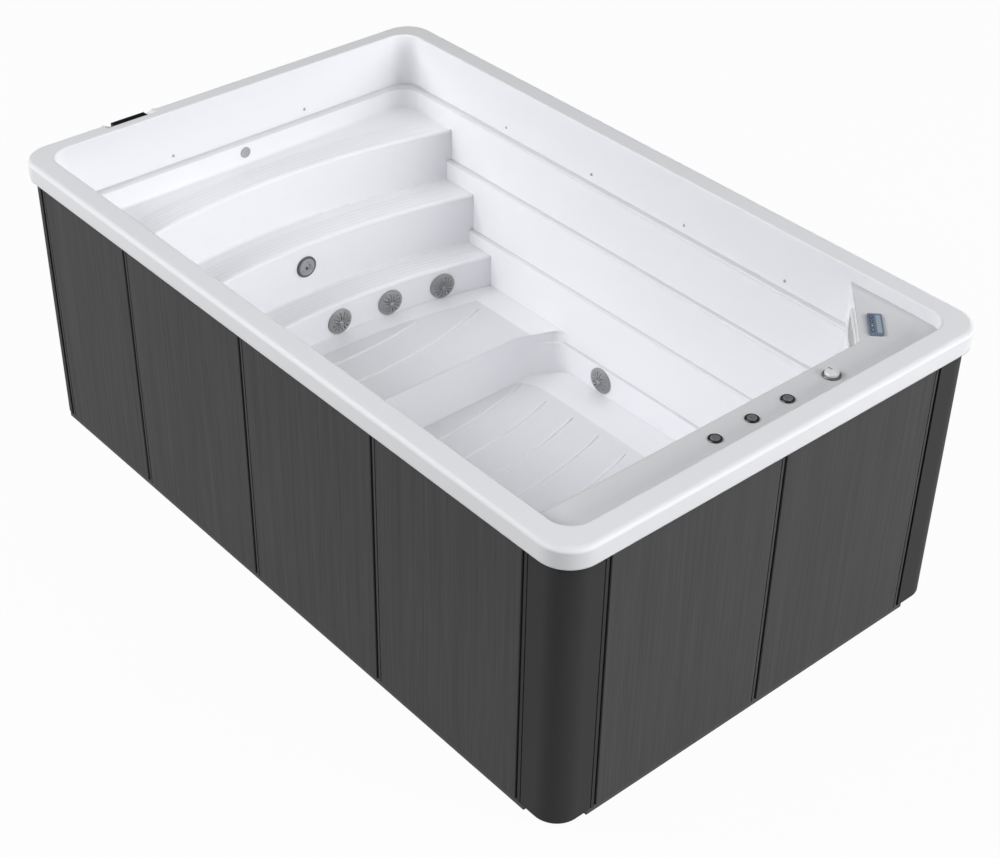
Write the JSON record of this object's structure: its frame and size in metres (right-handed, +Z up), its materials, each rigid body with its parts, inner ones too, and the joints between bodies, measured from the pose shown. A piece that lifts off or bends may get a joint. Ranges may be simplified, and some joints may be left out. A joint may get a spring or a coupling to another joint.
{
  "type": "swim spa",
  "caption": "Long swim spa with a white moulded pool, entry steps, ribbed floors, a console ledge with turning controls and a dark panelled cabinet.",
  "frame": {"origin": "centre of the footprint on the ground", "axes": "+X along the length from the steps to the console, +Y across to the filter corner, +Z up"},
  "size_m": [3.8, 2.36, 1.46],
  "materials": {
    "acrylic": "polished white acrylic",
    "black_trim": "matt black",
    "base_black": "matt black",
    "frame_metal": "grey coating",
    "fitting_white": "smooth white",
    "screw_steel": "stainless",
    "jet_dark": "satin dark grey",
    "jet_light": "satin grey",
    "light_lens": "clear lens",
    "control_black": "satin black",
    "control_grey": "satin grey",
    "trim_chrome": "polished",
    "panel_grey": "smooth blue-grey",
    "screen_glass": "dark window",
    "key_rubber": "soft black",
    "skimmer_white": "smooth white",
    "weir_grey": "satin grey",
    "filter_fabric": "pleated white",
    "pump_black": "black",
    "rotor_steel": "machined",
    "pipe_white": "white pipe",
    "box_grey": "grey",
    "cabinet_panel": "dark grey with vertical grain",
    "corner_post": "smooth dark grey",
    "suction_grey": "satin grey"
  },
  "bodies": {
    "spa": {"acrylic_shell": "acrylic", "air_control_bodies": "control_black", "base_rails": "base_black", "base_tray": "base_black", "bearers": "base_black", "console_end_panel_1": "cabinet_panel", "console_end_panel_2": "cabinet_panel", "corner_post_console_far": "corner_post", "corner_post_console_near": "corner_post", "corner_post_step_far": "corner_post", "corner_post_step_near": "corner_post", "diverter_body": "trim_chrome", "end_wall_fitting": "jet_light", "equipment_box": "box_grey", "far_panel_1": "cabinet_panel", "far_panel_2": "cabinet_panel", "far_panel_3": "cabinet_panel", "far_panel_4": "cabinet_panel", "filter_cartridge": "filter_fabric", "frame_top_ring": "frame_metal", "frame_uprights_end": "frame_metal", "frame_uprights_long": "frame_metal", "massage_jet_body": "jet_dark", "near_panel_1": "cabinet_panel", "near_panel_2": "cabinet_panel", "near_panel_3": "cabinet_panel", "near_panel_4": "cabinet_panel", "panel_housing": "panel_grey", "panel_screen": "screen_glass", "pressure_line": "pipe_white", "rim_insert": "black_trim", "skimmer_housing": "skimmer_white", "step_end_panel_1": "cabinet_panel", "step_end_panel_2": "cabinet_panel", "suction_bodies": "fitting_white", "suction_cover_1": "suction_grey", "suction_cover_2": "suction_grey", "suction_cover_3": "suction_grey", "suction_cover_4": "suction_grey", "suction_cover_screws": "screw_steel", "suction_line": "pipe_white", "swim_jet_bodies": "fitting_white", "swim_pump_far": "pump_black", "swim_pump_near": "pump_black", "waterline_lights": "light_lens"},
    "jet_face": {"massage_jet_face": "jet_light"},
    "swim_nozzle_1": {"swim_jet_nozzle_1": "trim_chrome"},
    "swim_nozzle_2": {"swim_jet_nozzle_2": "trim_chrome"},
    "swim_nozzle_3": {"swim_jet_nozzle_3": "trim_chrome"},
    "air_cap_1": {"air_control_cap_1": "control_grey"},
    "air_cap_2": {"air_control_cap_2": "control_grey"},
    "air_cap_3": {"air_control_cap_3": "control_grey"},
    "diverter": {"diverter_knob": "fitting_white"},
    "key_1": {"panel_key_1": "key_rubber"},
    "key_2": {"panel_key_2": "key_rubber"},
    "key_3": {"panel_key_3": "key_rubber"},
    "key_4": {"panel_key_4": "key_rubber"},
    "weir": {"weir_flap": "weir_grey"},
    "near_rotor": {"swim_pump_near_rotor": "rotor_steel"},
    "far_rotor": {"swim_pump_far_rotor": "rotor_steel"}
  },
  "joints": [
    {"name": "jet_face_turn", "type": "hinge", "parent": "spa", "child": "jet_face", "pos_m": [-1.32715, 0.025, 0.65], "axis": [1, -0.0069, 0], "range_deg": [0, 180]},
    {"name": "swim_nozzle_1_swivel", "type": "hinge", "parent": "spa", "child": "swim_nozzle_1", "pos_m": [1.604, -0.52, 0.9], "axis": [0, 0, 1], "range_deg": [-12, 12]},
    {"name": "swim_nozzle_2_swivel", "type": "hinge", "parent": "spa", "child": "swim_nozzle_2", "pos_m": [1.604, 0, 0.9], "axis": [0, 0, 1], "range_deg": [-12, 12]},
    {"name": "swim_nozzle_3_swivel", "type": "hinge", "parent": "spa", "child": "swim_nozzle_3", "pos_m": [1.604, 0.52, 0.9], "axis": [0, 0, 1], "range_deg": [-12, 12]},
    {"name": "air_cap_1_turn", "type": "hinge", "parent": "spa", "child": "air_cap_1", "pos_m": [1.677, -0.205, 1.395], "axis": [0, 0, 1], "range_deg": [0, 120]},
    {"name": "air_cap_2_turn", "type": "hinge", "parent": "spa", "child": "air_cap_2", "pos_m": [1.677, 0, 1.395], "axis": [0, 0, 1], "range_deg": [0, 120]},
    {"name": "air_cap_3_turn", "type": "hinge", "parent": "spa", "child": "air_cap_3", "pos_m": [1.677, 0.205, 1.395], "axis": [0, 0, 1], "range_deg": [0, 120]},
    {"name": "diverter_turn", "type": "hinge", "parent": "spa", "child": "diverter", "pos_m": [1.677, 0.465, 1.395], "axis": [0, 0, 1], "range_deg": [0, 180]},
    {"name": "key_1_press", "type": "slide", "parent": "spa", "child": "key_1", "axis": [0, 0, -1], "range_m": [0, 0.0012], "stiffness_N_per_m": 800},
    {"name": "key_2_press", "type": "slide", "parent": "spa", "child": "key_2", "axis": [0, 0, -1], "range_m": [0, 0.0012], "stiffness_N_per_m": 800},
    {"name": "key_3_press", "type": "slide", "parent": "spa", "child": "key_3", "axis": [0, 0, -1], "range_m": [0, 0.0012], "stiffness_N_per_m": 800},
    {"name": "key_4_press", "type": "slide", "parent": "spa", "child": "key_4", "axis": [0, 0, -1], "range_m": [0, 0.0012], "stiffness_N_per_m": 800},
    {"name": "weir_swing", "type": "hinge", "parent": "spa", "child": "weir", "pos_m": [1.45492, 0.86801, 1.247], "axis": [-0.7071, 0.7071, 0], "range_deg": [0, 50], "stiffness_Nm_per_rad": 0.15, "springref_deg": -17.19},
    {"name": "near_rotor_spin", "type": "hinge", "parent": "spa", "child": "near_rotor", "pos_m": [1.703, -0.66, 0.15], "axis": [0, 1, 0], "continuous": true},
    {"name": "far_rotor_spin", "type": "hinge", "parent": "spa", "child": "far_rotor", "pos_m": [1.703, 0.66, 0.15], "axis": [0, 1, 0], "continuous": true}
  ]
}
